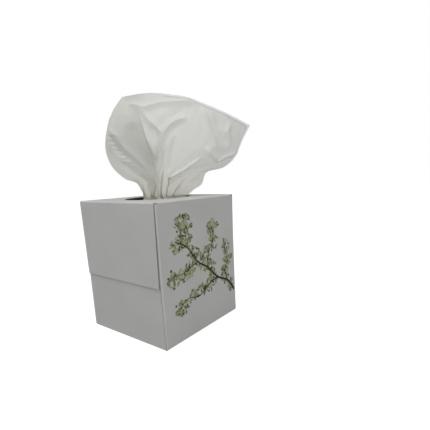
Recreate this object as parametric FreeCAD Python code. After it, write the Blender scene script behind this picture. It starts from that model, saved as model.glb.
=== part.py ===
import FreeCAD, Part
import Mesh
import math
import os

from FreeCAD import Vector

os.makedirs("parts", exist_ok=True)

# A cube carton of soft paper tissues, open at the top, with one tissue pulled up
# through its oval opening. Lengths are in millimetres. The origin is the middle of
# the carton's base, +Z is up, the printed side faces -Y and the glued ends are at +X and -X.

# Carton
WIDTH = 105.0                # along X, from one glued end to the other
DEPTH = 103.0                # along Y, from the printed side to the back
HEIGHT = 125.0
BOARD = 0.45                 # thickness of the folding board
FOLD_RADIUS = 1.3            # outside radius of a creased fold
OPENING_LENGTH = 70.0        # oval opening in the top, along X
OPENING_WIDTH = 54.0
TOP_FLAP = 70.0              # outer closing flap, hinged at the top edge of an end
TOP_FLAP_LIFT = 0.6          # how far the free edge of that flap springs out
BOTTOM_FLAP = 76.0           # closing flap under it, hinged at the bottom edge
DUST_FLAP = 47.0             # innermost flaps, hinged at the upright edges
HINGE_STRIP = 1.0            # flat board between the wrapped panels and a flap's fold
FLAP_SIDE_GAP = 0.8          # closing flaps are this much narrower on each side
FLAP_TAPER = 1.2             # extra narrowing of a closing flap at its free edge
DUST_TAPER = 9.0             # narrowing of a dust flap at its free edge
SEAM_FLAP = 16.0             # glued seam, inside the back panel

# Stack of folded tissues, bent over into an arch
STACK_END_ROOM = 7.5         # between the stack and each end of the carton
STACK_SIDE_ROOM = 2.5        # between the stack and the printed side, and the back
STACK_SLIT = 5.0             # gap between the two legs
STACK_WIDTH = WIDTH - 2 * STACK_END_ROOM             # a folded tissue's width, along X
STACK_LEG = (DEPTH - STACK_SLIT) / 2 - STACK_SIDE_ROOM    # thickness of one leg of the arch
STACK_HEIGHT = 113.0
CROWN_SHARE = 0.9            # height of the rounded crown, as a share of half the stack's depth
STACK_SHOULDER = CROWN_SHARE * (STACK_LEG + STACK_SLIT / 2)
STACK_END_RISE = 30.0        # the outer sheets end this much higher than the inner ones
SEAT = 0.2                   # clearance of what only lies on something

# Pulled tissue, one rectangular sheet
SHEET = 200.0                # cut size across the fan
SHEET_BELOW = 76.0           # cut length under the opening's level, on top of what LEVELS gives
SHEET_GAUGE = 0.2            # two soft plies
FAN_TURN = -42.2             # turn of the fan about Z, from +X
DRAWN = SHEET / 200.0        # the fan is drawn for a sheet 200 wide, and another size scales it
LEVELS = [DRAWN * level for level in (0, 9, 20, 34, 52, 70, 87, 104)]    # up the flat sheet
# The fan's folds, from the sheet's left side to its right: the place across the flat
# sheet, and a point at each level, as (across the fan, out of its face, above the carton)
FAN_FOLDS = [
    (0, [(-12, 12, 0), (-15, 13, 7), (-19, 13, 15), (-29, 14, 19), (-39, 13, 30), (-43, 11, 44), (-42, 8, 58), (-37, 10, 72)]),
    (14, [(-9, 15, 0), (-10, 15, 7), (-13, 16, 15), (-18, 17, 24), (-25, 19, 35), (-33, 19, 47), (-36, 18, 59), (-31, 16, 71)]),
    (30, [(-3, 13, 0), (-2, 12, 6), (0, 10, 14), (0, 10, 24), (-3, 13, 37), (-6, 16, 49), (-9, 16, 62), (-12, 14, 74)]),
    (64, [(-7, 2, 2), (-9, 2, 11), (-14, 1, 21), (-22, -1, 32), (-34, -4, 47), (-41, -5, 64), (-36, -7, 80), (-26, -10, 94)]),
    (86, [(-2, 0, 1), (0, -1, 10), (0, -2, 21), (-5, -4, 34), (-10, -7, 50), (-13, -11, 67), (-11, -14, 84), (-6, -16, 99)]),
    (108, [(1, 2, 0), (3, 2, 9), (4, 2, 20), (3, 4, 34), (6, 5, 51), (9, 1, 68), (11, -6, 83), (15, -12, 98)]),
    (130, [(4, 6, 1), (6, 6, 9), (7, 6, 20), (10, 9, 33), (17, 10, 50), (25, 6, 65), (31, 0, 79), (35, -7, 94)]),
    (153, [(8, 7, 1), (10, 7, 10), (13, 9, 19), (22, 12, 29), (35, 12, 42), (45, 8, 56), (51, 3, 71), (54, -2, 86)]),
    (176, [(15, 4, 1), (18, 5, 9), (25, 6, 18), (35, 8, 26), (50, 8, 35), (63, 6, 47), (70, 3, 61), (74, 1, 77)]),
    (200, [(25, -3, 2), (33, -3, 6), (42, -4, 11), (49, -5, 23), (67, -4, 27), (79, -4, 37), (87, -4, 53), (96, -5, 68)]),
]
SHARP_FOLDS = (30, 64)       # creased; the others are rounded
# Gathers, from left to right: the middle across the flat sheet, the share of the spare
# width that the gather takes up, whether it folds out of the fan's face or behind it, and
# how far up the sheet it reaches
GATHERS = [(12, 0.11, -1, 26), (34, 0.11, -1, 30), (60, 0.16, -1, 34), (82, 0.11, 1, 40),
           (103, 0.16, -1, 40), (127, 0.15, -1, 28), (150, 0.11, -1, 22), (178, 0.09, -1, 18)]
GATHER_SPLAY = 25.0          # how far the outermost gathers turn to the sides
FOLD_SPREAD = 0.22           # how far a gather's two layers stand apart, as a share of its depth
LEAST_FOLD = 0.1             # depth of what is left of a gather above that
SKIRT_START = 165.0          # the spread under the opening runs from this heading
SKIRT_SPREAD = 210.0
SKIRT_REACH = 43.0
SKIRT_DROP = 16.0            # length of sheet between the opening and the stack
SKIRT_LIFT = 0.9             # how far the spread lies off the stack, under its facets
SKIRT_STEPS = 7              # facets of the spread, of a gather and of a level of the fan
GATHER_STEPS = 6
FAN_STEPS = 3

HALF_WIDTH = WIDTH / 2
HALF_DEPTH = DEPTH / 2
RIBS = [(DRAWN * across, [Vector(*point) * DRAWN for point in points]) for across, points in FAN_FOLDS]
RIB_PLACES = [across for across, _ in RIBS]
CREASES = [DRAWN * across for across in SHARP_FOLDS]


def turn_left(direction):
    """A quarter turn to the left of a direction in its own plane."""
    return Vector(-direction.y, direction.x, 0)


def board_profile(corners):
    """Outline of a folded strip of board: corners are its outer side, the inside is on the left."""
    count = len(corners)
    steps = [(corners[i + 1] - corners[i]).normalize() for i in range(count - 1)]
    outer_start = corners[0]
    inner_start = corners[0] + turn_left(steps[0]) * BOARD
    outer, inner = [], []
    for i in range(1, count - 1):
        before, after = steps[i - 1], steps[i]
        setback = FOLD_RADIUS * math.tan(before.getAngle(after) / 2)
        into, out = corners[i] - before * setback, corners[i] + after * setback
        centre = into + turn_left(before) * FOLD_RADIUS
        middle = (corners[i] - centre).normalize()
        outer.append(Part.LineSegment(outer_start, into).toShape())
        outer.append(Part.Arc(into, centre + middle * FOLD_RADIUS, out).toShape())
        inner_into = into + turn_left(before) * BOARD
        inner_out = out + turn_left(after) * BOARD
        inner.append(Part.LineSegment(inner_start, inner_into).toShape())
        bend = Part.Arc(inner_into, centre + middle * (FOLD_RADIUS - BOARD), inner_out)
        inner.append(bend.toShape())
        outer_start, inner_start = out, inner_out
    inner_end = corners[-1] + turn_left(steps[-1]) * BOARD
    outer.append(Part.LineSegment(outer_start, corners[-1]).toShape())
    inner.append(Part.LineSegment(inner_start, inner_end).toShape())
    ends = [Part.LineSegment(corners[-1], inner_end).toShape(),
            Part.LineSegment(corners[0], corners[0] + turn_left(steps[0]) * BOARD).toShape()]
    return Part.Face(Part.Wire(Part.__sortEdges__(outer + ends + inner)))


def place(profile, across, up):
    """Lays a flat profile, drawn with x and y, along two axes of the carton."""
    normal = across.cross(up)
    placement = FreeCAD.Placement(FreeCAD.Matrix(
        across.x, up.x, normal.x, 0,
        across.y, up.y, normal.y, 0,
        across.z, up.z, normal.z, 0,
        0, 0, 0, 1))
    profile.Placement = placement
    return profile


X_AXIS, Y_AXIS, Z_AXIS = Vector(1, 0, 0), Vector(0, 1, 0), Vector(0, 0, 1)
DUST_PLANE = HALF_WIDTH - 2 * BOARD          # outer side of the dust flaps
WRAP_END = DUST_PLANE - FOLD_RADIUS - HINGE_STRIP    # where the wrapped panels stop


def prism(points, direction):
    """A straight block over a polygon."""
    return Part.Face(Part.makePolygon(points + points[:1])).extrude(direction)


def wrap():
    """Back, top, printed and bottom panels in one strip, and the seam flap inside the back."""
    seam_plane = HALF_DEPTH - BOARD
    around = [Vector(HALF_DEPTH, BOARD, 0), Vector(HALF_DEPTH, HEIGHT, 0),
              Vector(-HALF_DEPTH, HEIGHT, 0), Vector(-HALF_DEPTH, 0, 0), Vector(0, 0, 0)]
    seam = [Vector(0, 0, 0), Vector(seam_plane, 0, 0), Vector(seam_plane, SEAM_FLAP, 0)]
    strips = []
    for corners in (around, seam):
        strip = place(board_profile(corners), Y_AXIS, Z_AXIS)
        strip.translate(Vector(-WRAP_END, 0, 0))
        strips.append(strip.extrude(Vector(2 * WRAP_END, 0, 0)))
    return strips[0].fuse(strips[1])


def dust_flap():
    """Innermost flap of the +X end, folded in from the printed panel and tapered."""
    corners = [Vector(WRAP_END, -HALF_DEPTH, 0), Vector(DUST_PLANE, -HALF_DEPTH, 0),
               Vector(DUST_PLANE, -HALF_DEPTH + DUST_FLAP, 0)]
    low, high = FOLD_RADIUS, HEIGHT - FOLD_RADIUS
    flap = board_profile(corners).extrude(Vector(0, 0, HEIGHT))
    start, end = -HALF_DEPTH, -HALF_DEPTH + DUST_FLAP
    knee = start + FOLD_RADIUS
    blank = [Vector(0, start, low), Vector(0, knee, low), Vector(0, end, low + DUST_TAPER),
             Vector(0, end, high - DUST_TAPER), Vector(0, knee, high), Vector(0, start, high)]
    return flap.common(prism(blank, Vector(WIDTH, 0, 0)))


def closing_flap(corners, free_edge, fold_edge):
    """An end's full-width flap with its hinge strip, a little narrower at its free edge."""
    half_fold = HALF_DEPTH - FLAP_SIDE_GAP
    half_free = half_fold - FLAP_TAPER
    flap = place(board_profile(corners), X_AXIS, Z_AXIS)
    flap.translate(Vector(0, HALF_DEPTH, 0))
    flap = flap.extrude(Vector(0, -DEPTH, 0))
    blank = [Vector(0, -half_fold, fold_edge), Vector(0, half_fold, fold_edge),
             Vector(0, half_free, free_edge), Vector(0, -half_free, free_edge)]
    return flap.common(prism(blank, Vector(WIDTH, 0, 0)))


def end_flaps():
    """The four flaps that close the +X end."""
    front = dust_flap()
    back = front.mirror(Vector(0, 0, 0), Y_AXIS)
    low_plane = HALF_WIDTH - BOARD
    bottom = closing_flap([Vector(WRAP_END, 0, 0), Vector(low_plane, 0, 0),
                           Vector(low_plane, BOTTOM_FLAP, 0)], BOTTOM_FLAP, 0)
    free = HEIGHT - TOP_FLAP
    top = closing_flap([Vector(HALF_WIDTH + TOP_FLAP_LIFT, free, 0),
                        Vector(HALF_WIDTH, HEIGHT, 0), Vector(WRAP_END, HEIGHT, 0)], free, HEIGHT)
    return [front, back, bottom, top]


def opening():
    """Block that cuts the oval opening out of the top panel."""
    oval = Part.Ellipse(Vector(0, 0, HEIGHT - 3 * BOARD), OPENING_LENGTH / 2, OPENING_WIDTH / 2)
    return Part.Face(Part.Wire(oval.toShape())).extrude(Vector(0, 0, 6 * BOARD))


def carton():
    """One blank of folding board: wrapped, its seam and its end flaps glued."""
    body = wrap()
    flaps = end_flaps()
    body = body.fuse(flaps + [flap.mirror(Vector(0, 0, 0), X_AXIS) for flap in flaps])
    return body.cut(opening()).removeSplitter()


def crown_height(y):
    """Height of the stack's outer side above the carton's floor at a distance y from its middle."""
    half = STACK_LEG + STACK_SLIT / 2
    return STACK_HEIGHT - STACK_SHOULDER * (1 - math.sqrt(max(0.0, 1 - (y / half) ** 2)))


def tissue_stack():
    """Interfolded tissues bent over into an arch, whose outer sheets end higher up."""
    floor = BOARD + SEAT
    inner, half = STACK_SLIT / 2, STACK_LEG + STACK_SLIT / 2
    shoulder = STACK_HEIGHT - STACK_SHOULDER
    slit_top = STACK_HEIGHT - STACK_LEG
    crown = Part.Ellipse(Vector(0, shoulder, 0), half, STACK_SHOULDER)
    arch = Part.ArcOfEllipse(crown, 0, math.pi).toShape()
    slit = Part.Arc(Vector(-inner, slit_top - inner, 0), Vector(0, slit_top, 0),
                    Vector(inner, slit_top - inner, 0)).toShape()
    corners = [Vector(half, shoulder, 0), Vector(half, floor + STACK_END_RISE, 0),
               Vector(inner, floor, 0), Vector(inner, slit_top - inner, 0)]
    edges = [arch, slit]
    for side in (1, -1):
        for a, b in zip(corners, corners[1:]):
            line = Part.LineSegment(Vector(side * a.x, a.y, 0), Vector(side * b.x, b.y, 0))
            edges.append(line.toShape())
    profile = Part.Face(Part.Wire(Part.__sortEdges__(edges)))
    profile = place(profile, Y_AXIS, Z_AXIS)
    profile.translate(Vector(-STACK_WIDTH / 2, 0, 0))
    return profile.extrude(Vector(STACK_WIDTH, 0, 0))


def spline(places, values, at, creases=()):
    """Value at one place of a curve through values, smooth but for a kink at each crease."""
    last = len(places) - 1
    i = 0
    while i < last - 1 and at > places[i + 1]:
        i += 1

    def slope(k):
        low, high = max(k - 1, 0), min(k + 1, last)
        if places[k] in creases:
            low, high = i, i + 1
        return (values[high] - values[low]) * (1 / (places[high] - places[low]))

    span = places[i + 1] - places[i]
    t = (at - places[i]) / span
    return (values[i] * (2 * t ** 3 - 3 * t ** 2 + 1) + slope(i) * (span * (t ** 3 - 2 * t ** 2 + t))
            + values[i + 1] * (3 * t ** 2 - 2 * t ** 3) + slope(i + 1) * (span * (t ** 3 - t ** 2)))


def fan_axes():
    """Directions across the fan and out of its face."""
    turn = math.radians(FAN_TURN)
    across = Vector(math.cos(turn), math.sin(turn), 0)
    return across, Vector(across.y, -across.x, 0)


def fan_point(u, v):
    """Middle of the sheet above the opening: u across it and v up it, both in flat millimetres."""
    across, facing = fan_axes()
    ribs = [spline(LEVELS, points, v) for _, points in RIBS]
    point = spline(RIB_PLACES, ribs, u, CREASES)
    return across * point.x + facing * point.y + Vector(0, 0, HEIGHT + point.z)


def section_length(level):
    """Length of the fan's section at one of its levels, from the sheet's left side to its right."""
    line = [points[level] for _, points in RIBS]
    return sum((after - before).Length for before, after in zip(line, line[1:]))


SPARE = [max(0.0, SHEET - section_length(level)) / 2 for level in range(len(LEVELS))]


def gathered(u, v):
    """Where a point of the flat sheet lies between the ribs, and how far a fold lifts it off them."""
    spare = spline(LEVELS, SPARE, v) if v >= 0 else SPARE[0] * (1 + v / SHEET_BELOW)
    taken, all_taken, lift = 0.0, 0.0, 0.0
    for middle, share, side, reach in GATHERS:
        up = min(1.0, max(0.0, v / (DRAWN * reach)))
        depth = LEAST_FOLD + share * max(0.0, spare) * (1 - up * up * (3 - 2 * up))
        offset = min(max(u - DRAWN * middle, -depth), depth)
        taken += (offset + depth) * (1 - FOLD_SPREAD)
        all_taken += 2 * depth * (1 - FOLD_SPREAD)
        lift += side * depth * (1 + math.cos(math.pi * offset / depth)) / 2
    return (u - taken) * SHEET / (SHEET - all_taken), lift


def skirt_point(u, below):
    """Middle of the sheet under the opening, where it spreads over the stack."""
    neck = fan_point(u, 0)
    share = below / SHEET_BELOW
    heading = math.radians(SKIRT_START + SKIRT_SPREAD * u / SHEET)
    reach = SKIRT_REACH * share
    x = neck.x * (1 - share) ** 2 + reach * math.cos(heading)
    y = neck.y * (1 - share) ** 2 + reach * math.sin(heading)
    rest = crown_height(y) + SKIRT_LIFT
    drop = min(1, below / SKIRT_DROP)
    fall = drop * drop * (3 - 2 * drop)
    return Vector(x, y, neck.z + (rest - neck.z) * fall)


def sheet_point(u, v):
    """Middle of the pulled tissue, with its gathers."""
    place_across, lift = gathered(u, v)
    across, facing = fan_axes()
    lean = math.radians(GATHER_SPLAY) * (2 * u / SHEET - 1)
    outward = facing * math.cos(lean) + across * (math.sin(lean) * (1 if lift > 0 else -1))
    if v >= 0:
        return fan_point(place_across, v) + outward * lift
    settled = min(1, -v / SKIRT_DROP)
    return skirt_point(place_across, -v) + outward * (lift * (1 - settled)) + Z_AXIS * (abs(lift) * settled)


def stations(stops, steps):
    """Places along the sheet: every stop, and an even number of steps from each to the next."""
    places = []
    for low, high in zip(stops, stops[1:]):
        places += [low + (high - low) * k / steps for k in range(steps)]
    return places + [stops[-1]]


def sheet_side(columns, rows, offset):
    """Grid of points that lie off the sheet's middle by a distance along its normal."""
    step = 0.5
    top = LEVELS[-1]
    grid = []
    for u in columns:
        line = []
        for v in rows:
            along_u = sheet_point(min(u + step, SHEET), v) - sheet_point(max(u - step, 0), v)
            along_v = sheet_point(u, min(v + step, top)) - sheet_point(u, max(v - step, -SHEET_BELOW))
            line.append(sheet_point(u, v) + along_u.cross(along_v).normalize() * offset)
        grid.append(line)
    return grid


def pulled_tissue():
    """One two-ply sheet: fanned out above the opening, gathered in it, spread on the stack."""
    columns = stations([0] + [DRAWN * middle for middle, _, _, _ in GATHERS] + [SHEET], GATHER_STEPS)
    rows = stations([-SHEET_BELOW, -SKIRT_DROP, 0], SKIRT_STEPS)[:-1] + stations(LEVELS, FAN_STEPS)
    front = sheet_side(columns, rows, SHEET_GAUGE / 2)
    back = sheet_side(columns, rows, -SHEET_GAUGE / 2)
    facets = []

    def quad(a, b, c, d):
        facets.extend([(a, b, c), (a, c, d)])

    last_u, last_v = len(columns) - 1, len(rows) - 1
    for i in range(last_u):
        for j in range(last_v):
            quad(front[i][j], front[i + 1][j], front[i + 1][j + 1], front[i][j + 1])
            quad(back[i][j], back[i][j + 1], back[i + 1][j + 1], back[i + 1][j])
        quad(front[i][0], back[i][0], back[i + 1][0], front[i + 1][0])
        quad(front[i][last_v], front[i + 1][last_v], back[i + 1][last_v], back[i][last_v])
    for j in range(last_v):
        quad(front[0][j], front[0][j + 1], back[0][j + 1], back[0][j])
        quad(front[last_u][j], back[last_u][j], back[last_u][j + 1], front[last_u][j + 1])
    skin = Part.Shape()
    skin.makeShapeFromMesh(Mesh.Mesh(facets).Topology, 0.001)
    return Part.makeSolid(skin)


NODES = {
    "carton": carton,
    "tissue_stack": tissue_stack,
    "pulled_tissue": pulled_tissue,
}

for name, build in NODES.items():
    solid = build()
    print(name, solid.ShapeType, len(solid.Solids), round(solid.Volume, 1), solid.isValid())
    solid.exportStep("parts/" + name + ".step")
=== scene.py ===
import math
import random

import bmesh
import bpy
from mathutils import Matrix, Vector, noise


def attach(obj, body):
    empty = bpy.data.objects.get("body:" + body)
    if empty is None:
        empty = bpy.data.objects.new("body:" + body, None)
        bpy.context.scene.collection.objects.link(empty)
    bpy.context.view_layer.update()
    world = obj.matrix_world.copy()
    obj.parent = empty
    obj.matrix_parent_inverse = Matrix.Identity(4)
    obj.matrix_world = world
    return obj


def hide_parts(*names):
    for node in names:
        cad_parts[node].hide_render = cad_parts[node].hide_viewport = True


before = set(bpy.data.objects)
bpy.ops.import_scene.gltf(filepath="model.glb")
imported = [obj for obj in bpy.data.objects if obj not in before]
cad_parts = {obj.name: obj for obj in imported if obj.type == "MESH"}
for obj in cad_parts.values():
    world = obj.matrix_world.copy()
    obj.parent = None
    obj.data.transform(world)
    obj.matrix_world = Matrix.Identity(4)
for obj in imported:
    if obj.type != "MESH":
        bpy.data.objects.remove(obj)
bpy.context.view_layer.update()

# The camera stands in front of the box's near corner, a little above its top, and looks down
# on it.
bpy.ops.object.camera_add(location=(-0.21932, -0.24178, 0.14234))
camera = bpy.context.object
camera.name = "camera"
to_the_right = Vector((0.56788, -0.82237, -0.03481))
upward = Vector((0.18879, 0.08897, 0.97798))
ahead = Vector((0.80117, 0.56195, -0.20578))
camera.rotation_euler = Matrix((to_the_right, upward, -ahead)).transposed().to_euler()
camera.data.sensor_width = 36
camera.data.lens = 26.84
camera.data.shift_x = -0.0444
camera.data.shift_y = 0.0678
camera.data.clip_start = 0.01
bpy.context.scene.camera = camera

# A white table top and a white room. The table keeps the box's soft shadow, and both look
# plain white to the camera. The room looks white through the thin paper too.
FLOOR_SIZE = 8
TABLE_GREY, TABLE_GLOW = 0.3, 0.9
ROOM_LIGHT = 0.40
WHITE = (1, 1, 1, 1)


def add_node(owner, kind, **settings):
    """A new node, with its named settings and the values of its named sockets."""
    new = owner.node_tree.nodes.new(kind)
    for name, value in settings.items():
        if hasattr(new, name):
            setattr(new, name, value)
        else:
            new.inputs[name.replace("_", " ")].default_value = value
    return new


def blank_material(name):
    """A material with nothing but its output."""
    material = bpy.data.materials.new(name)
    material.use_nodes = True
    material.node_tree.nodes.clear()
    material.node_tree.nodes.new("ShaderNodeOutputMaterial")
    return material, material.node_tree.nodes["Material Output"]


bpy.ops.object.select_all(action="DESELECT")
bpy.ops.mesh.primitive_plane_add(size=FLOOR_SIZE)
floor = bpy.context.object
floor.name = "table_top"
white_table, surface = blank_material("white_table")
link = white_table.node_tree.links.new
paint = add_node(white_table, "ShaderNodeBsdfDiffuse", Color=(TABLE_GREY,) * 3 + (1,))
glow = add_node(white_table, "ShaderNodeEmission", Color=WHITE)
path = add_node(white_table, "ShaderNodeLightPath")
glow_level = add_node(white_table, "ShaderNodeMath", operation="MULTIPLY")
glow_level.inputs[1].default_value = TABLE_GLOW
both = add_node(white_table, "ShaderNodeAddShader")
link(path.outputs["Is Camera Ray"], glow_level.inputs[0])
link(glow_level.outputs[0], glow.inputs["Strength"])
link(paint.outputs[0], both.inputs[0])
link(glow.outputs[0], both.inputs[1])
link(both.outputs[0], surface.inputs["Surface"])
floor.data.materials.append(white_table)

world = bpy.data.worlds.new("white_room")
world.use_nodes = True
world.node_tree.nodes.clear()
bpy.context.scene.world = world
sky = add_node(world, "ShaderNodeOutputWorld")
room_light = add_node(world, "ShaderNodeBackground", Color=WHITE, Strength=ROOM_LIGHT)
room_seen = add_node(world, "ShaderNodeBackground", Color=WHITE, Strength=1)
rays = add_node(world, "ShaderNodeLightPath")
seen_or_through = add_node(world, "ShaderNodeMath", operation="MAXIMUM")
room = add_node(world, "ShaderNodeMixShader")
link = world.node_tree.links.new
link(rays.outputs["Is Camera Ray"], seen_or_through.inputs[0])
link(rays.outputs["Is Transmission Ray"], seen_or_through.inputs[1])
link(seen_or_through.outputs[0], room.inputs[0])
link(room_light.outputs[0], room.inputs[1])
link(room_seen.outputs[0], room.inputs[2])
link(room.outputs[0], sky.inputs["Surface"])

# Large soft lights from above, from both sides of the camera and, faintly, from behind.
SOFT_BOXES = [   # name, place, side length in metres and power in watts
    ("soft_box_above", (-0.35, 0.05, 1.15), 0.6, 6.2),
    ("soft_box_left", (-1.3, 0.1, 0.5), 0.9, 1.7),
    ("soft_box_front", (-0.55, -1.35, 0.5), 0.9, 6.8),
    ("soft_box_behind", (1.1, 0.8, 0.7), 1.0, 0.2),
]
LIT_PLACE = Vector((0, 0, 0.12))
for name, spot, size, power in SOFT_BOXES:
    bpy.ops.object.light_add(type="AREA", location=spot)
    lamp = bpy.context.object
    lamp.name = name
    lamp.data.size = size
    lamp.data.energy = power
    lamp.rotation_euler = (Vector(spot) - LIT_PLACE).to_track_quat("Z", "Y").to_euler()
bpy.context.scene.view_settings.view_transform = "Standard"

# The carton: one blank of grey-backed folding board, wrapped, glued and coated white outside.
# Its inside and its cut edges show the bare grey board. On the flaps' edges this dark tone is also painted
# shade, for the shadow in the narrow gaps beside them.
CARTON_MIDDLE = 0.0625       # half its height
FLAPS_OUTSIDE = 0.05165      # the top closing flaps stand further out than this
FREE_EDGES_WITHIN = 0.055    # their free edges lie this near the middle's height
EDGE_ON = 0.7                # least share of a face's normal along Y or Z on a cut edge


def add_ramp(owner, first, *others):
    """A colour ramp through stops of a place and a colour, in order."""
    ramp = add_node(owner, "ShaderNodeValToRGB")
    *between, last = others
    for stop, (place, colour) in zip(ramp.color_ramp.elements, (first, last)):
        stop.position = place
        stop.color = (*colour, 1)
    for place, colour in between:
        ramp.color_ramp.elements.new(place).color = (*colour, 1)
    return ramp


board, surface = blank_material("coated_board")
link = board.node_tree.links.new
coat = add_node(board, "ShaderNodeBsdfPrincipled", IOR=1.45)
place = add_node(board, "ShaderNodeTexCoord")
from_middle = add_node(board, "ShaderNodeVectorMath", operation="SUBTRACT")
from_middle.inputs[1].default_value = (0, 0, CARTON_MIDDLE)
faces_out = add_node(board, "ShaderNodeVectorMath", operation="DOT_PRODUCT")
bare = add_node(board, "ShaderNodeMath", operation="LESS_THAN")
bare.inputs[1].default_value = 0
mottle = add_node(board, "ShaderNodeTexNoise", Scale=22.0, Detail=3.0)
coated_tone = add_ramp(board, (0.3, (0.525, 0.522, 0.511)), (0.7, (0.560, 0.557, 0.547)))
pulp = add_node(board, "ShaderNodeTexNoise", Scale=420.0, Detail=4.0)
bare_tone = add_ramp(board, (0, (0.20, 0.18, 0.15)), (1, (0.34, 0.315, 0.27)))
tone = add_node(board, "ShaderNodeMix", data_type="RGBA")
sheen_range = add_node(board, "ShaderNodeMapRange", To_Min=0.34, To_Max=0.46)
fibre = add_node(board, "ShaderNodeTexNoise", Scale=1500.0, Detail=2.0)
fibre_bump = add_node(board, "ShaderNodeBump", Strength=0.25, Distance=0.00004)
unevenness = add_node(board, "ShaderNodeTexNoise", Scale=26.0, Detail=1.0)
panel_bump = add_node(board, "ShaderNodeBump", Strength=0.35, Distance=0.0012)
# A face that looks towards the carton's middle is on its inner side.
link(place.outputs["Object"], from_middle.inputs[0])
link(from_middle.outputs[0], faces_out.inputs[0])
link(place.outputs["Normal"], faces_out.inputs[1])
link(faces_out.outputs["Value"], bare.inputs[0])
for texture in (mottle, pulp, fibre, unevenness):
    link(place.outputs["Object"], texture.inputs["Vector"])
link(mottle.outputs["Fac"], coated_tone.inputs[0])
link(pulp.outputs["Fac"], bare_tone.inputs[0])
# The flaps' cut edges stand outside the wrapped panels: their long sides face along Y, and
# their free edges face up or down. Their dark tone is partly the board's own grey and partly
# painted shade for the gaps beside the flaps.
where = add_node(board, "ShaderNodeSeparateXYZ")
facing = add_node(board, "ShaderNodeSeparateXYZ")
link(place.outputs["Object"], where.inputs[0])
link(place.outputs["Normal"], facing.inputs[0])


def board_math(operation, *sources, value=0.0):
    """A sum on the board's numbers: one or two sources, or a source and a fixed value."""
    step = add_node(board, "ShaderNodeMath", operation=operation)
    step.inputs[1].default_value = value
    for source, socket in zip(sources, step.inputs):
        board.node_tree.links.new(source, socket)
    return step.outputs[0]


on_flaps = board_math("GREATER_THAN", board_math("ABSOLUTE", where.outputs["X"]), value=FLAPS_OUTSIDE)
side_edge = board_math("GREATER_THAN", board_math("ABSOLUTE", facing.outputs["Y"]), value=EDGE_ON)
free_edge = board_math("GREATER_THAN", board_math("ABSOLUTE", facing.outputs["Z"]), value=EDGE_ON)
off_middle = board_math("ABSOLUTE", board_math("SUBTRACT", where.outputs["Z"], value=CARTON_MIDDLE))
between_folds = board_math("LESS_THAN", off_middle, value=FREE_EDGES_WITHIN)
cut_edge = board_math("MAXIMUM", side_edge, board_math("MULTIPLY", free_edge, between_folds))
# On the flaps' edges the bare tone also serves as painted shade for the gaps beside them.
bare_and_shaded_edge = board_math("MULTIPLY", cut_edge, on_flaps)
link(board_math("MAXIMUM", bare.outputs[0], bare_and_shaded_edge), tone.inputs["Factor"])
link(coated_tone.outputs[0], tone.inputs["A"])
link(bare_tone.outputs[0], tone.inputs["B"])
link(tone.outputs["Result"], coat.inputs["Base Color"])
link(mottle.outputs["Fac"], sheen_range.inputs["Value"])
link(sheen_range.outputs[0], coat.inputs["Roughness"])
link(fibre.outputs["Fac"], fibre_bump.inputs["Height"])
link(fibre_bump.outputs[0], panel_bump.inputs["Normal"])
link(unevenness.outputs["Fac"], panel_bump.inputs["Height"])
link(panel_bump.outputs[0], coat.inputs["Normal"])
link(coat.outputs[0], surface.inputs["Surface"])
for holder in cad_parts["carton"].material_slots:
    holder.material = board

# The print: flat ink on the coated board. A leafy twig with clusters of small leaves and
# berries crosses the printed panel. The hidden back has a smaller twig, a bare green oval and
# two green corners.
MM = 0.001
PRINT_END = 49.2         # the wrapped panels end here, at the flaps' hinges
PANEL_OUT = 51.5         # the printed panel's outer side
INK = 0.03               # how far the ink stands off the board, so that it shows
random.seed(11)

FRONT_SHOOTS = [   # points (x, z) on the panel, and the thickness at both ends
    ([(49.2, 24), (38, 37), (21, 46), (7, 59), (-7, 68), (-20, 84), (-34, 91)], 3.0, 1.0),
    ([(38, 37), (34, 49), (38, 61), (35, 72)], 1.6, 0.6),
    ([(21, 46), (8, 42), (-7, 35), (-22, 37), (-33, 32)], 1.8, 0.6),
    ([(7, 59), (9, 73), (17, 84), (15, 97)], 1.6, 0.6),
    ([(-7, 68), (-22, 63), (-38, 61)], 1.1, 0.45),
    ([(-20, 84), (-17, 96), (-23, 107)], 0.9, 0.4),
]
BACK_SHOOTS = [
    ([(-49.2, 44), (-38, 50), (-24, 62), (-12, 78), (3, 88), (17, 101)], 2.0, 0.6),
    ([(-38, 50), (-36, 64), (-41, 76)], 1.0, 0.45),
    ([(-12, 78), (-20, 90), (-18, 103)], 1.0, 0.45),
    ([(3, 88), (17, 86), (30, 91)], 0.9, 0.4),
]
LEAF_LONG, LEAF_WIDE, LEAF_POINT = 5.6, 3.2, 0.62
LEAF_SIZE, LEAF_TURN = (0.65, 1.1), 0.7
BERRY_SIZE, BERRY_OUT, BERRY_CLEAR = (1.5, 2.4), (0.1, 1.15), 1
FIRST_CLUSTER, CLUSTER_GAP = (8, 12), (11.0, 17.0)
CLUSTER_WIDE, CLUSTER_SLIP = (5.5, 8.5), 2.5
LEAVES_PER_MM, BERRIES_PER_MM = 3, 0.6
LEAF_LIFT, LEAF_LIFTS, LEAF_STEP = 0.02, 19, 0.0021      # overlapping leaves never share a plane
TOP_LIFT = 0.07          # the twigs and berries lie over the leaves
TWIG_FLATNESS = 0.02


def varnished_ink(name):
    """A material with nothing but printed ink, varnished like the board round it."""
    ink, surface = blank_material(name)
    varnish = add_node(ink, "ShaderNodeBsdfPrincipled", Roughness=0.45, Specular_IOR_Level=0.25)
    ink.node_tree.links.new(varnish.outputs[0], surface.inputs["Surface"])
    return ink, varnish


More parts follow.
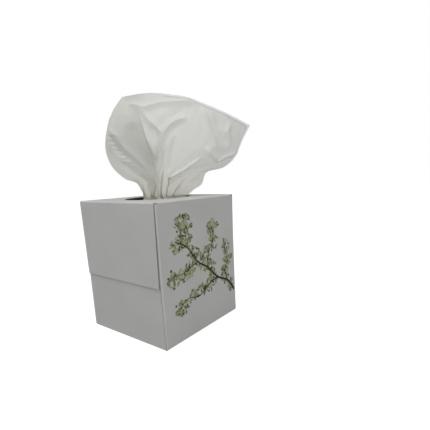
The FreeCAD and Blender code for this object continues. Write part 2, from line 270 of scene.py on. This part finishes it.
def ink_material(name, dark, light, size):
    """Ink whose tone wanders a little from dark to light."""
    ink, varnish = varnished_ink(name)
    link = ink.node_tree.links.new
    place = add_node(ink, "ShaderNodeTexCoord")
    cloud = add_node(ink, "ShaderNodeTexNoise", Scale=size, Detail=2.0)
    tone = add_ramp(ink, (0.35, dark), (0.65, light))
    link(place.outputs["Object"], cloud.inputs["Vector"])
    link(cloud.outputs["Fac"], tone.inputs[0])
    link(tone.outputs[0], varnish.inputs["Base Color"])
    return ink


def leaf_material(name, rib, blade, edge):
    """Green ink that is deep along the midrib and paler towards the leaf's edge."""
    ink, varnish = varnished_ink(name)
    link = ink.node_tree.links.new
    flat = add_node(ink, "ShaderNodeUVMap", uv_map="UVMap")
    across = add_node(ink, "ShaderNodeSeparateXYZ")
    off_rib = add_node(ink, "ShaderNodeMath", operation="SUBTRACT")
    off_rib.inputs[1].default_value = 0.5
    away = add_node(ink, "ShaderNodeMath", operation="ABSOLUTE")
    tone = add_ramp(ink, (0.02, rib), (0.10, blade), (0.46, edge))
    link(flat.outputs[0], across.inputs[0])
    link(across.outputs["X"], off_rib.inputs[0])
    link(off_rib.outputs[0], away.inputs[0])
    link(away.outputs[0], tone.inputs[0])
    link(tone.outputs[0], varnish.inputs["Base Color"])
    return ink


twig_ink = ink_material("twig_ink", (0.022, 0.018, 0.017), (0.045, 0.037, 0.033), 300.0)
berry_ink = ink_material("berry_ink", (0.050, 0.048, 0.028), (0.095, 0.088, 0.055), 900.0)
field_ink = ink_material("field_ink", (0.030, 0.085, 0.006), (0.042, 0.105, 0.010), 60.0)
leaf_inks = [leaf_material(name, rib, blade, edge) for name, rib, blade, edge in (
    ("pale_leaf_ink", (0.19, 0.21, 0.105), (0.36, 0.385, 0.235), (0.49, 0.515, 0.39)),
    ("leaf_ink", (0.14, 0.155, 0.07), (0.27, 0.29, 0.155), (0.41, 0.43, 0.29)),
    ("deep_leaf_ink", (0.09, 0.10, 0.045), (0.18, 0.195, 0.095), (0.30, 0.32, 0.19)))]


def round_shape(corners):
    """A flat disc, one across, to be turned into leaves, berries and the oval."""
    bpy.ops.object.select_all(action="DESELECT")
    bpy.ops.mesh.primitive_circle_add(vertices=corners, radius=0.5, fill_type="NGON")
    return bpy.context.object


leaf_shape = round_shape(16)
for corner in leaf_shape.data.vertices:
    corner.co.x *= 1 - LEAF_POINT * (2 * corner.co.y) ** 2
berry_shape = round_shape(12)


def flat_copy(shape, x, z, wide, tall, turn, lift, ink):
    """A copy of a flat shape at a place (x, z) of the plane y = 0, facing -Y."""
    new = shape.copy()
    new.data = shape.data.copy()
    bpy.context.collection.objects.link(new)
    laid = Matrix.Rotation(turn, 4, "Z") @ Matrix.Diagonal((wide * MM, tall * MM, 1, 1))
    stood = Matrix.Translation((x * MM, -lift * MM, z * MM)) @ Matrix.Rotation(math.pi / 2, 4, "X")
    new.data.transform(stood @ laid)
    new.data.materials.append(ink)
    return new


def stroke(points, thick, thin):
    """A twig's tapered line, as a smooth curve that is then pressed flat."""
    bpy.ops.object.select_all(action="DESELECT")
    bpy.ops.curve.primitive_bezier_curve_add(location=(0, 0, 0))
    line = bpy.context.object
    knots = line.data.splines[0].bezier_points
    knots.add(len(points) - 2)
    for k, ((x, z), knot) in enumerate(zip(points, knots)):
        knot.co = (x * MM, 0, z * MM)
        knot.handle_left_type = knot.handle_right_type = "AUTO"
        knot.radius = thick + (thin - thick) * k / (len(points) - 1)
    line.data.bevel_depth = 0.5 * MM
    line.data.bevel_resolution = 1
    line.data.resolution_u = 8
    line.data.use_fill_caps = True
    bpy.ops.object.convert(target="MESH")
    line = bpy.context.object
    for corner in line.data.vertices:
        corner.co.x = min(max(corner.co.x, -PRINT_END * MM), PRINT_END * MM)
        corner.co.y *= TWIG_FLATNESS
    line.data.transform(Matrix.Translation((0, -TOP_LIFT * MM, 0)))
    line.data.materials.append(twig_ink)
    return line


def finish_print(pieces, name, back):
    """One printed piece of all these, laid on the printed panel or round on the back."""
    bpy.ops.object.select_all(action="DESELECT")
    for piece in pieces:
        piece.select_set(True)
    bpy.context.view_layer.objects.active = pieces[0]
    bpy.ops.object.join()
    whole = bpy.context.view_layer.objects.active
    whole.name = name
    whole.data.transform(Matrix.Translation((0, -(PANEL_OUT + INK) * MM, 0)))
    if back:
        whole.data.transform(Matrix.Rotation(math.pi, 4, "Z"))
    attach(whole, "root")


def print_twig(shoots, name, back):
    """All shoots of a printed twig, with their clusters of leaves and berries."""
    strokes, leaves, berries = [], [], []
    for points, thick, thin in shoots:
        strokes.append(stroke(points, thick, thin))
        next_cluster, run = random.uniform(*FIRST_CLUSTER), 0.0
        clusters = []
        for (ax, az), (bx, bz) in zip(points, points[1:]):
            long = math.hypot(bx - ax, bz - az)
            while next_cluster < run + long:
                t = (next_cluster - run) / long
                clusters.append((ax + (bx - ax) * t, az + (bz - az) * t))
                next_cluster += random.uniform(*CLUSTER_GAP)
            run += long
        for x, z in clusters + [points[-1]]:
            wide = random.uniform(*CLUSTER_WIDE)
            x += random.uniform(-CLUSTER_SLIP, CLUSTER_SLIP)
            z += random.uniform(-CLUSTER_SLIP, CLUSTER_SLIP)
            for _ in range(int(wide * LEAVES_PER_MM)):
                way = random.uniform(0, 2 * math.pi)
                out = wide * math.sqrt(random.random())
                leaves.append((x + out * math.cos(way), z + out * math.sin(way),
                               random.uniform(*LEAF_SIZE), way + random.uniform(-LEAF_TURN, LEAF_TURN)))
            for _ in range(int(wide * BERRIES_PER_MM)):
                way = random.uniform(0, 2 * math.pi)
                out = wide * random.uniform(*BERRY_OUT)
                berries.append((x + out * math.cos(way), z + out * math.sin(way),
                                random.uniform(*BERRY_SIZE)))
    leaves = [flat_copy(leaf_shape, x, z, LEAF_WIDE * size, LEAF_LONG * size, math.pi / 2 - way,
                        LEAF_LIFT + LEAF_STEP * (k % LEAF_LIFTS), random.choice(leaf_inks))
              for k, (x, z, size, way) in enumerate(leaves) if abs(x) < PRINT_END - LEAF_LONG / 2]
    berries = [flat_copy(berry_shape, x, z, size, size, 0, TOP_LIFT, berry_ink)
               for x, z, size in berries if abs(x) < PRINT_END - BERRY_CLEAR]
    finish_print(strokes, name + "_twig", back)
    finish_print(leaves, name + "_leaves", back)
    finish_print(berries, name + "_berries", back)


print_twig(FRONT_SHOOTS, "front", False)
print_twig(BACK_SHOOTS, "back", True)

OVAL_PLACE, OVAL_SIZE = (14, 58), (44, 33)
CORNER_LONG, CORNER_FOOT = 42, 2
CORNER_LOW, CORNER_RISE, CORNER_WAVE, WAVE_TURN = 20, 9, 3, 8
oval_shape = round_shape(56)
fields = [flat_copy(oval_shape, *OVAL_PLACE, *OVAL_SIZE, 0, 0, field_ink)]
for side in (1, -1):
    bpy.ops.object.select_all(action="DESELECT")
    bpy.ops.mesh.primitive_grid_add(x_subdivisions=30, y_subdivisions=2, size=1, location=(0, 0, 0))
    field = bpy.context.object
    for corner in field.data.vertices:
        across, up = corner.co.x + 0.5, corner.co.y + 0.5
        wave = CORNER_WAVE * math.sin(WAVE_TURN * across + side)
        height = (1 - across) * (CORNER_LOW + CORNER_RISE * (1 - across) + wave)
        corner.co = (side * (PRINT_END - CORNER_LONG * across) * MM, 0, (CORNER_FOOT + up * height) * MM)
    if side > 0:
        field.data.flip_normals()
    field.data.materials.append(field_ink)
    fields.append(field)
finish_print(fields, "back_fields", True)
for shape in (leaf_shape, berry_shape, oval_shape):
    bpy.data.objects.remove(shape)

# The stack: soft two-ply tissues, folded, interleaved and bent over into an arch that fills
# the carton. Each layer is one folded tissue, and their ends never lie quite in line.
LAYERS, LAYER_STEPS = 17, 56
STACK_LONG, STACK_TOP, STACK_HALF, STACK_THICK = 90.0, 113.0, 49.0, 46.5
LAYER_THICK = STACK_THICK / LAYERS
LAYER_GAP, END_ROUND = 0.25, 0.9
LAYER_SLIP, LAYER_SAG, EDGE_WANDER = 0.7, 0.6, 0.5
SAG_GRAIN, SAG_START, WANDER_GRAIN = (2.4, 7, 0.35), 9, (5, 14, 2.7)     # across, along, by layer
SHOULDER_OUTSIDE, SHOULDER_INSIDE = 44.1, 2.5
STACK_FLOOR, END_STEP = 0.65, 30.0


def arch_point(deep, along):
    """A point of the arch at a depth under its outer side, from one leg's end to the other's."""
    share = deep / STACK_THICK
    half = STACK_HALF - deep
    crown = SHOULDER_OUTSIDE + (SHOULDER_INSIDE - SHOULDER_OUTSIDE) * share
    shoulder = STACK_TOP - deep - crown
    foot = STACK_FLOOR + END_STEP * (1 - share)
    leg, bend = shoulder - foot, math.pi * (half + crown) / 2
    run = along * (2 * leg + bend)
    if run < leg:
        return Vector((0, -half, foot + run))
    if run > leg + bend:
        return Vector((0, half, foot + 2 * leg + bend - run))
    turn = math.pi * (run - leg) / bend
    return Vector((0, -half * math.cos(turn), shoulder + crown * math.sin(turn)))


layers = []
for number in range(LAYERS):
    bpy.ops.object.select_all(action="DESELECT")
    bpy.ops.mesh.primitive_grid_add(x_subdivisions=20, y_subdivisions=LAYER_STEPS, size=1, location=(0, 0, 0))
    layer = bpy.context.object
    slip = random.uniform(-LAYER_SLIP, LAYER_SLIP)
    for corner in layer.data.vertices:
        across, along = corner.co.x, min(max(corner.co.y + 0.5, 0.0), 1.0)
        wander = noise.noise(Vector((across * WANDER_GRAIN[0], along * WANDER_GRAIN[1],
                                     number * WANDER_GRAIN[2])))
        sag = noise.noise(Vector((across * SAG_GRAIN[0] + SAG_START, along * SAG_GRAIN[1],
                                  number * SAG_GRAIN[2])))
        at = arch_point(number * LAYER_THICK + LAYER_SAG * abs(sag), along)
        near_side = 2 * abs(across)
        at.x = across * STACK_LONG + slip * near_side ** 2 + EDGE_WANDER * wander * near_side ** 6
        corner.co = at * MM
    body = layer.modifiers.new("thickness", "SOLIDIFY")
    body.thickness = (LAYER_THICK - LAYER_GAP) * MM
    body.offset = -1
    bpy.ops.object.modifier_apply(modifier="thickness")
    soft = layer.modifiers.new("soft_edge", "BEVEL")
    soft.width = END_ROUND * MM
    soft.segments = 2
    soft.limit_method = "ANGLE"
    soft.angle_limit = math.radians(50)
    bpy.ops.object.modifier_apply(modifier="soft_edge")
    bpy.ops.object.shade_smooth()
    layers.append(layer)
bpy.ops.object.select_all(action="DESELECT")
for layer in layers:
    layer.select_set(True)
bpy.context.view_layer.objects.active = layers[0]
bpy.ops.object.join()
stack = bpy.context.view_layer.objects.active
stack.name = "folded_tissues"
folded_paper, surface = blank_material("folded_tissue_paper")
link = folded_paper.node_tree.links.new
paper = add_node(folded_paper, "ShaderNodeBsdfPrincipled", Base_Color=(0.68, 0.68, 0.645, 1),
                 Roughness=0.92, Specular_IOR_Level=0.2)
place = add_node(folded_paper, "ShaderNodeTexCoord")
crepe = add_node(folded_paper, "ShaderNodeTexNoise", Scale=900.0, Detail=3.0)
crepe_bump = add_node(folded_paper, "ShaderNodeBump", Strength=0.3, Distance=0.00012)
link(place.outputs["Object"], crepe.inputs["Vector"])
link(crepe.outputs["Fac"], crepe_bump.inputs["Height"])
link(crepe_bump.outputs[0], paper.inputs["Normal"])
link(paper.outputs[0], surface.inputs["Surface"])
stack.data.materials.append(folded_paper)
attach(stack, "root")
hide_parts("tissue_stack")

# The pulled tissue: one soft two-ply sheet, 200 mm across, drawn up through the opening so
# that it gathers in a neck and fans out above it. What is still inside spreads over the stack.
SHEET_WIDTH, SHEET_ABOVE, SHEET_BELOW = 200.0, 104.0, 76.0
OPENING_HEIGHT = 125.0
FAN_LEVELS = [0, 9, 20, 34, 52, 70, 87, 104]     # up the flat sheet
# The main folds, from the sheet's left side to its right: the place across the flat sheet, and
# for each level a point to the right, towards the camera and up from the opening.
FAN_FOLDS = [
    (0, [(-12, 12, 0), (-15, 13, 7), (-19, 13, 15), (-29, 14, 19),
         (-39, 13, 30), (-43, 11, 44), (-42, 8, 58), (-37, 10, 72)]),
    (14, [(-11, 15, 0), (-12, 15, 7), (-14, 16, 15), (-18, 17, 24),
          (-25, 19, 35), (-33, 19, 47), (-36, 18, 59), (-31, 16, 71)]),
    (30, [(-7, 13, 0), (-6, 12, 6), (-3, 11, 14), (-1, 10, 24),
          (-3, 13, 37), (-6, 16, 49), (-9, 16, 62), (-12, 14, 74)]),
    (64, [(-7, 2, 2), (-9, 2, 11), (-14, 1, 21), (-22, -1, 32),
          (-34, -4, 47), (-41, -5, 64), (-36, -7, 80), (-26, -10, 94)]),
    (86, [(-2, 5, 0), (-3, 5, 9), (-7, 1, 20), (-5, -3, 34),
          (-10, -7, 50), (-13, -11, 67), (-11, -14, 84), (-6, -16, 99)]),
    (108, [(3, 8, 0), (1, 8, 9), (-2, 6, 20), (3, 5, 34),
           (6, 5, 51), (9, 1, 68), (11, -6, 83), (15, -12, 98)]),
    (130, [(8, 8, 0), (7, 9, 9), (7, 9, 20), (11, 9, 33),
           (17, 10, 50), (25, 6, 65), (31, 0, 79), (35, -7, 94)]),
    (153, [(10, 8, 1), (12, 8, 10), (14, 9, 19), (22, 12, 29),
           (35, 12, 42), (45, 8, 56), (51, 3, 71), (54, -2, 86)]),
    (176, [(19, 6, 1), (22, 6, 9), (27, 7, 18), (35, 8, 26),
           (50, 8, 35), (63, 6, 47), (70, 3, 61), (74, 1, 77)]),
    (200, [(29, 0, 1), (35, -1, 6), (43, -3, 11), (49, -5, 23),
           (67, -4, 27), (79, -4, 37), (87, -4, 53), (96, -5, 68)]),
]
# Gathers, from left to right: the middle across the flat sheet, the share of the spare width
# that goes into it, which way it stands, how high it reaches, and how much of it lies spread.
GATHERS = [(12, 0.11, -1, 26, 0.07), (34, 0.11, -1, 30, 0.07), (60, 0.16, -1, 34, 0.07),
           (82, 0.11, -1, 34, 0.15), (104, 0.16, 1, 24, 0.55), (127, 0.15, -1, 28, 0.28),
           (150, 0.11, -1, 30, 0.20), (178, 0.09, -1, 22, 0.20)]
GATHER_SPLAY = math.radians(25)
LEAST_FOLD = 0.05
FAN_TURN = math.radians(-42.2)
ACROSS = Vector((math.cos(FAN_TURN), math.sin(FAN_TURN), 0))
FACING = Vector((ACROSS.y, -ACROSS.x, 0))
# Under the opening the sheet spreads round as a skirt that drops on the stack and lies in waves.
SKIRT_START, SKIRT_SPREAD = math.radians(140), math.radians(260)
SKIRT_REACH, SKIRT_DROP, SKIRT_LIFT = 43.0, 16.0, 0.4
SKIRT_WAVE, SKIRT_WAVE_LENGTH = 6.5, 10.0


def smooth_curve(places, values, at, sharp=()):
    """Value at one place of a curve through values, smooth but for a kink at each sharp place."""
    last = len(places) - 1
    i = 0
    while i < last - 1 and at > places[i + 1]:
        i += 1

    def slope(k):
        low, high = max(k - 1, 0), min(k + 1, last)
        if places[k] in sharp:
            low, high = i, i + 1
        return (values[high] - values[low]) * (1 / (places[high] - places[low]))

    span = places[i + 1] - places[i]
    t = (at - places[i]) / span
    return (values[i] * (2 * t ** 3 - 3 * t ** 2 + 1) + slope(i) * (span * (t ** 3 - 2 * t ** 2 + t))
            + values[i + 1] * (3 * t ** 2 - 2 * t ** 3) + slope(i + 1) * (span * (t ** 3 - t ** 2)))


def fold_points(v):
    """Where each main fold of the fan is at a flat distance v up the sheet."""
    return [smooth_curve(FAN_LEVELS, [Vector(p) for p in points], v) for _, points in FAN_FOLDS]


def section_length(level):
    """How long the fan's section is at one of its levels, from fold to fold."""
    line = [Vector(points[level]) for _, points in FAN_FOLDS]
    return sum((after - before).length for before, after in zip(line, line[1:]))


FOLD_PLACES = [across for across, _ in FAN_FOLDS]
SHARP_FOLDS = (30, 64)     # the folded edge on the left and the ridge beside it
SPARE_WIDTH = [max(0.0, SHEET_WIDTH - section_length(k)) / 2 for k in range(len(FAN_LEVELS))]


def gathered(u, v):
    """Where a point of the flat sheet lies between the main folds, and how far a gather lifts it."""
    spare = smooth_curve(FAN_LEVELS, SPARE_WIDTH, v) if v >= 0 else SPARE_WIDTH[0] * (1 + v / SHEET_BELOW)
    taken, all_taken, lift = 0.0, 0.0, 0.0
    for middle, share, side, reach, spread in GATHERS:
        up = min(1.0, max(0.0, v / reach))
        depth = LEAST_FOLD + share * max(0.0, spare) * (1 - up * up * (3 - 2 * up))
        offset = min(max(u - middle, -depth), depth)
        taken += (offset + depth) * (1 - spread)
        all_taken += 2 * depth * (1 - spread)
        lift += side * depth * (1 - spread) * (1 + math.cos(math.pi * offset / depth)) / 2
    return (u - taken) * SHEET_WIDTH / (SHEET_WIDTH - all_taken), lift


def crown_height(y):
    """Height of the stack's rounded top at a distance y from its middle."""
    return STACK_TOP - SHOULDER_OUTSIDE * (1 - math.sqrt(max(0.0, 1 - (y / STACK_HALF) ** 2)))


def sheet_point(u, v, folds):
    """A point of the sheet, u across it and v up it from the opening, in flat millimetres."""
    place_across, lift = gathered(u, v)
    neck = smooth_curve(FOLD_PLACES, folds, place_across, SHARP_FOLDS)
    neck = ACROSS * neck.x + FACING * neck.y + Vector((0, 0, OPENING_HEIGHT + neck.z))
    lean = GATHER_SPLAY * (2 * u / SHEET_WIDTH - 1)
    outward = FACING * math.cos(lean) + ACROSS * (math.sin(lean) * (1 if lift > 0 else -1))
    if v >= 0:
        return neck + outward * lift
    share = -v / SHEET_BELOW
    heading = SKIRT_START + SKIRT_SPREAD * place_across / SHEET_WIDTH
    x = neck.x * (1 - share) ** 2 + SKIRT_REACH * share * math.cos(heading)
    y = neck.y * (1 - share) ** 2 + SKIRT_REACH * share * math.sin(heading)
    drop = min(1, -v / SKIRT_DROP)
    fall = drop * drop * (3 - 2 * drop)
    wave = SKIRT_WAVE * (1 - math.cos(2 * math.pi * u / SKIRT_WAVE_LENGTH)) / 2 * min(1, share * 2)
    rest = crown_height(y) + SKIRT_LIFT + wave
    point = Vector((x, y, neck.z + (rest - neck.z) * fall))
    return point + outward * (lift * (1 - drop)) + Vector((0, 0, abs(lift) * drop))


# Creases from the pull and from lying folded in the stack: a line on the flat sheet, how far it
# stands out of the face, and how wide its slopes are. A minus sign is a valley.
CREASES = [
    ([(13, 92), (17, 80), (19, 57), (23, 31), (26, 16)], 2.6, 4),
    ([(25, 96), (25, 60), (27, 34)], -2.0, 4),
    ([(12, 60), (17, 36), (22, 22)], 1.6, 5),
    ([(8, 52), (13, 32), (19, 18)], -1.6, 5),
    ([(134, 82), (119, 70), (111, 60), (109, 48), (101, 34)], 3.4, 5.5),
    ([(127, 90), (112, 77), (101, 66), (99, 50)], -2.6, 7),
    ([(82, 92), (96, 74), (107, 61)], 2.2, 5.5),
    ([(86, 70), (94, 50), (98, 34)], 2.0, 5.5),
    ([(145, 99), (157, 79), (170, 67), (180, 65)], 3.0, 6),
    ([(158, 99), (168, 84), (184, 74)], -2.6, 6),
    ([(178, 99), (176, 86), (188, 76)], 2.2, 5),
    ([(149, 15), (162, 31), (167, 51)], 3.0, 4.5),
    ([(152, 8), (166, 20), (176, 38)], -2.6, 7),
    ([(160, 62), (172, 57), (185, 55), (188, 64), (200, 77)], 3.2, 4),
    ([(183, 14), (186, 34), (194, 48)], 2.0, 5.5),
    ([(128, 60), (132, 40), (136, 22)], -1.6, 7),
    ([(70, 96), (89, 88), (106, 93), (122, 96), (140, 101)], 2.6, 6),
    ([(118, 40), (122, 24), (126, 10)], 2.0, 6),
]
CREASE_FADE, CREASE_PEAK = 9.0, 1.4      # a crease dies out at its ends, and is sharp at its top
CREASES_FROM = 2                         # and there is none lower than this
CRIMP_FROM, CRIMP_TO, CRIMP_PITCH = 27, 84, 5.8
CRIMP_INSET, CRIMP_SLANT, CRIMP_TURN = 16.5, 0.06, 0.35
CRIMP_LENGTH, CRIMP_WIDTH, CRIMP_DEPTH = 5.2, 2.2, 1.2
# Wrinkles: how high, how far apart across and up the sheet, and which part of the noise.
BROAD_WRINKLE, BROAD_SIZE, BROAD_SEED = 1.0, (17, 38), 3.1
FINE_WRINKLE, FINE_SIZE, FINE_SEED = 0.35, (5.5, 16), 8.7
WRINKLE_LEAST, WRINKLE_REACH, WRINKLE_FADE = 0.45, 90, 12


def off_line(u, v, line):
    """Distance from a flat point to a crease's line, and how near the line's ends it is."""
    best, run, at = math.inf, 0.0, 0.0
    for (au, av), (bu, bv) in zip(line, line[1:]):
        du, dv = bu - au, bv - av
        long = math.hypot(du, dv)
        t = min(1.0, max(0.0, ((u - au) * du + (v - av) * dv) / long ** 2))
        away = math.hypot(u - au - du * t, v - av - dv * t)
        if away < best:
            best, at = away, run + long * t
        run += long
    return best, min(1.0, at / CREASE_FADE, (run - at) / CREASE_FADE)


def crease_lift(u, v):
    """How far all creases lift a flat point out of the sheet's face."""
    lift = 0.0
    for line, height, width in CREASES:
        if not (min(a for a, _ in line) - width < u < max(a for a, _ in line) + width
                and min(b for _, b in line) - width < v < max(b for _, b in line) + width):
            continue
        away, ends = off_line(u, v, line)
        if away < width:
            lift += height * (1 - away / width) ** CREASE_PEAK * ends
    return lift


def crimp_lift(u, v):
    """The row of short pressed marks that holds the two plies together, along the left side."""
    in_from_side = u - CRIMP_INSET + CRIMP_SLANT * v
    along = (v - CRIMP_FROM) % CRIMP_PITCH - CRIMP_PITCH / 2 + in_from_side * CRIMP_TURN
    if not CRIMP_FROM < v < CRIMP_TO:
        return 0.0
    if abs(in_from_side) > CRIMP_LENGTH / 2 or abs(along) > CRIMP_WIDTH / 2:
        return 0.0
    press = math.cos(math.pi * along / CRIMP_WIDTH) * math.cos(math.pi * in_from_side / CRIMP_LENGTH)
    return -CRIMP_DEPTH * press


def wrinkle(u, v):
    """Soft unevenness, drawn out along the pull, and stronger low down where the sheet is gathered."""
    reach = WRINKLE_LEAST + (1 - WRINKLE_LEAST) * max(0.0, 1 - abs(v) / WRINKLE_REACH)
    broad = noise.noise(Vector((u / BROAD_SIZE[0], v / BROAD_SIZE[1], BROAD_SEED)))
    fine = noise.noise(Vector((u / FINE_SIZE[0], v / FINE_SIZE[1], FINE_SEED)))
    return BROAD_WRINKLE * broad * reach + FINE_WRINKLE * fine


# The sheet's mesh is fine enough for the pressed marks, and coarser inside the carton.
ACROSS_STEPS, ABOVE_STEPS, BELOW_STEPS = 300, 156, 60
rows = [-SHEET_BELOW * (1 - j / BELOW_STEPS) for j in range(BELOW_STEPS)]
rows += [SHEET_ABOVE * j / ABOVE_STEPS for j in range(ABOVE_STEPS + 1)]
columns = [SHEET_WIDTH * i / ACROSS_STEPS for i in range(ACROSS_STEPS + 1)]
last_row = len(rows) - 1
plain = []     # the sheet's points before creases and wrinkles lift them out of its face
for v in rows:
    folds = fold_points(max(v, 0))
    plain.append([sheet_point(u, v, folds) for u in columns])
sheet_mesh = bmesh.new()
flat_layer = sheet_mesh.loops.layers.uv.new("flat_sheet")
grid = []
for j, v in enumerate(rows):
    line = []
    for i, u in enumerate(columns):
        sideways = plain[j][min(i + 1, ACROSS_STEPS)] - plain[j][max(i - 1, 0)]
        upwards = plain[min(j + 1, last_row)][i] - plain[max(j - 1, 0)][i]
        out = sideways.cross(upwards).normalized()
        lift = crimp_lift(u, v) + wrinkle(u, v) * min(1.0, max(0.0, 1 + v / WRINKLE_FADE))
        if v > CREASES_FROM:
            lift += crease_lift(u, v)
        line.append(sheet_mesh.verts.new((plain[j][i] + out * lift) * MM))
    grid.append(line)
for j in range(last_row):
    for i in range(ACROSS_STEPS):
        face = sheet_mesh.faces.new((grid[j][i], grid[j][i + 1], grid[j + 1][i + 1], grid[j + 1][i]))
        face.smooth = True
        for corner, (a, b) in zip(face.loops, ((i, j), (i + 1, j), (i + 1, j + 1), (i, j + 1))):
            corner[flat_layer].uv = (columns[a] * MM, (rows[b] + SHEET_BELOW) * MM)
tissue_mesh = bpy.data.meshes.new("pulled_sheet")
sheet_mesh.to_mesh(tissue_mesh)
sheet_mesh.free()
tissue = bpy.data.objects.new("pulled_sheet", tissue_mesh)
bpy.context.collection.objects.link(tissue)

soft_paper, surface = blank_material("soft_tissue_paper")
link = soft_paper.node_tree.links.new
paper = add_node(soft_paper, "ShaderNodeBsdfPrincipled", Roughness=0.9, Specular_IOR_Level=0.2)
through = add_node(soft_paper, "ShaderNodeBsdfTranslucent", Color=(0.72, 0.715, 0.67, 1))
paper_mix = add_node(soft_paper, "ShaderNodeMixShader", Fac=0.28)
flat_place = add_node(soft_paper, "ShaderNodeUVMap", uv_map="flat_sheet")
flat_parts = add_node(soft_paper, "ShaderNodeSeparateXYZ")
link(flat_place.outputs[0], flat_parts.inputs[0])
# Low down, where many layers lie over one another, the paper is tinted a little yellower: painted shade, for
# the warm shade in the bunched neck.
up_the_neck = add_node(soft_paper, "ShaderNodeMapRange", From_Min=0.074, From_Max=0.118)
neck_shade_tint = add_node(soft_paper, "ShaderNodeMix", data_type="RGBA")
neck_shade_tint.inputs["A"].default_value = (0.70, 0.69, 0.595, 1)
neck_shade_tint.inputs["B"].default_value = (0.70, 0.70, 0.672, 1)
link(flat_parts.outputs["Y"], up_the_neck.inputs["Value"])
link(up_the_neck.outputs[0], neck_shade_tint.inputs["Factor"])
# One ply ends short of the other along the top edge's right part and the right edge, so that a
# thin margin is easier to see through. Where the shorter ply ends, a darker line is painted shade for the
# small step at its edge.
MARGIN_STARTS, MARGIN_WIDE, PLY_LINE = 0.105, 0.0020, 0.0006
from_top = add_node(soft_paper, "ShaderNodeMath", operation="SUBTRACT")
from_top.inputs[0].default_value = (SHEET_ABOVE + SHEET_BELOW) * MM
from_right = add_node(soft_paper, "ShaderNodeMath", operation="SUBTRACT")
from_right.inputs[0].default_value = SHEET_WIDTH * MM
from_edge = add_node(soft_paper, "ShaderNodeMath", operation="MINIMUM")
on_the_right = add_node(soft_paper, "ShaderNodeMath", operation="LESS_THAN")
on_the_right.inputs[1].default_value = MARGIN_STARTS
from_margin = add_node(soft_paper, "ShaderNodeMath", operation="ADD")
one_ply = add_node(soft_paper, "ShaderNodeMath", operation="LESS_THAN")
one_ply.inputs[1].default_value = MARGIN_WIDE
# A darker tone along the shorter ply's edge: painted shade for the step there.
ply_step_shade = add_node(soft_paper, "ShaderNodeMath", operation="COMPARE")
ply_step_shade.inputs[1].default_value = MARGIN_WIDE + PLY_LINE
ply_step_shade.inputs[2].default_value = PLY_LINE
ply_shade_tone = add_node(soft_paper, "ShaderNodeMix", data_type="RGBA")
ply_shade_tone.inputs["B"].default_value = (0.50, 0.50, 0.48, 1)
thinness = add_node(soft_paper, "ShaderNodeMapRange", To_Min=0.10, To_Max=0.30)
link(flat_parts.outputs["Y"], from_top.inputs[1])
link(flat_parts.outputs["X"], from_right.inputs[1])
link(from_top.outputs[0], from_edge.inputs[0])
link(from_right.outputs[0], from_edge.inputs[1])
link(flat_parts.outputs["X"], on_the_right.inputs[0])
link(from_edge.outputs[0], from_margin.inputs[0])
link(on_the_right.outputs[0], from_margin.inputs[1])
link(from_margin.outputs[0], one_ply.inputs[0])
link(from_margin.outputs[0], ply_step_shade.inputs[0])
link(ply_step_shade.outputs[0], ply_shade_tone.inputs["Factor"])
link(neck_shade_tint.outputs["Result"], ply_shade_tone.inputs["A"])
link(ply_shade_tone.outputs["Result"], paper.inputs["Base Color"])
link(one_ply.outputs[0], thinness.inputs["Value"])
crepe_size = add_node(soft_paper, "ShaderNodeMapping")
crepe_size.inputs["Scale"].default_value = (700, 1600, 1)
crepe = add_node(soft_paper, "ShaderNodeTexNoise", Scale=1.0, Detail=3.0)
crepe_bump = add_node(soft_paper, "ShaderNodeBump", Strength=0.35, Distance=0.00012)
link(flat_place.outputs[0], crepe_size.inputs["Vector"])
link(crepe_size.outputs[0], crepe.inputs["Vector"])
link(crepe.outputs["Fac"], crepe_bump.inputs["Height"])
link(crepe_bump.outputs[0], paper.inputs["Normal"])
clear = add_node(soft_paper, "ShaderNodeBsdfTransparent")
see_through = add_node(soft_paper, "ShaderNodeMixShader")
link(paper.outputs[0], paper_mix.inputs[1])
link(through.outputs[0], paper_mix.inputs[2])
link(paper_mix.outputs[0], see_through.inputs[1])
link(clear.outputs[0], see_through.inputs[2])
link(thinness.outputs[0], see_through.inputs[0])
link(see_through.outputs[0], surface.inputs["Surface"])
tissue.data.materials.append(soft_paper)
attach(tissue, "root")
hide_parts("pulled_tissue")
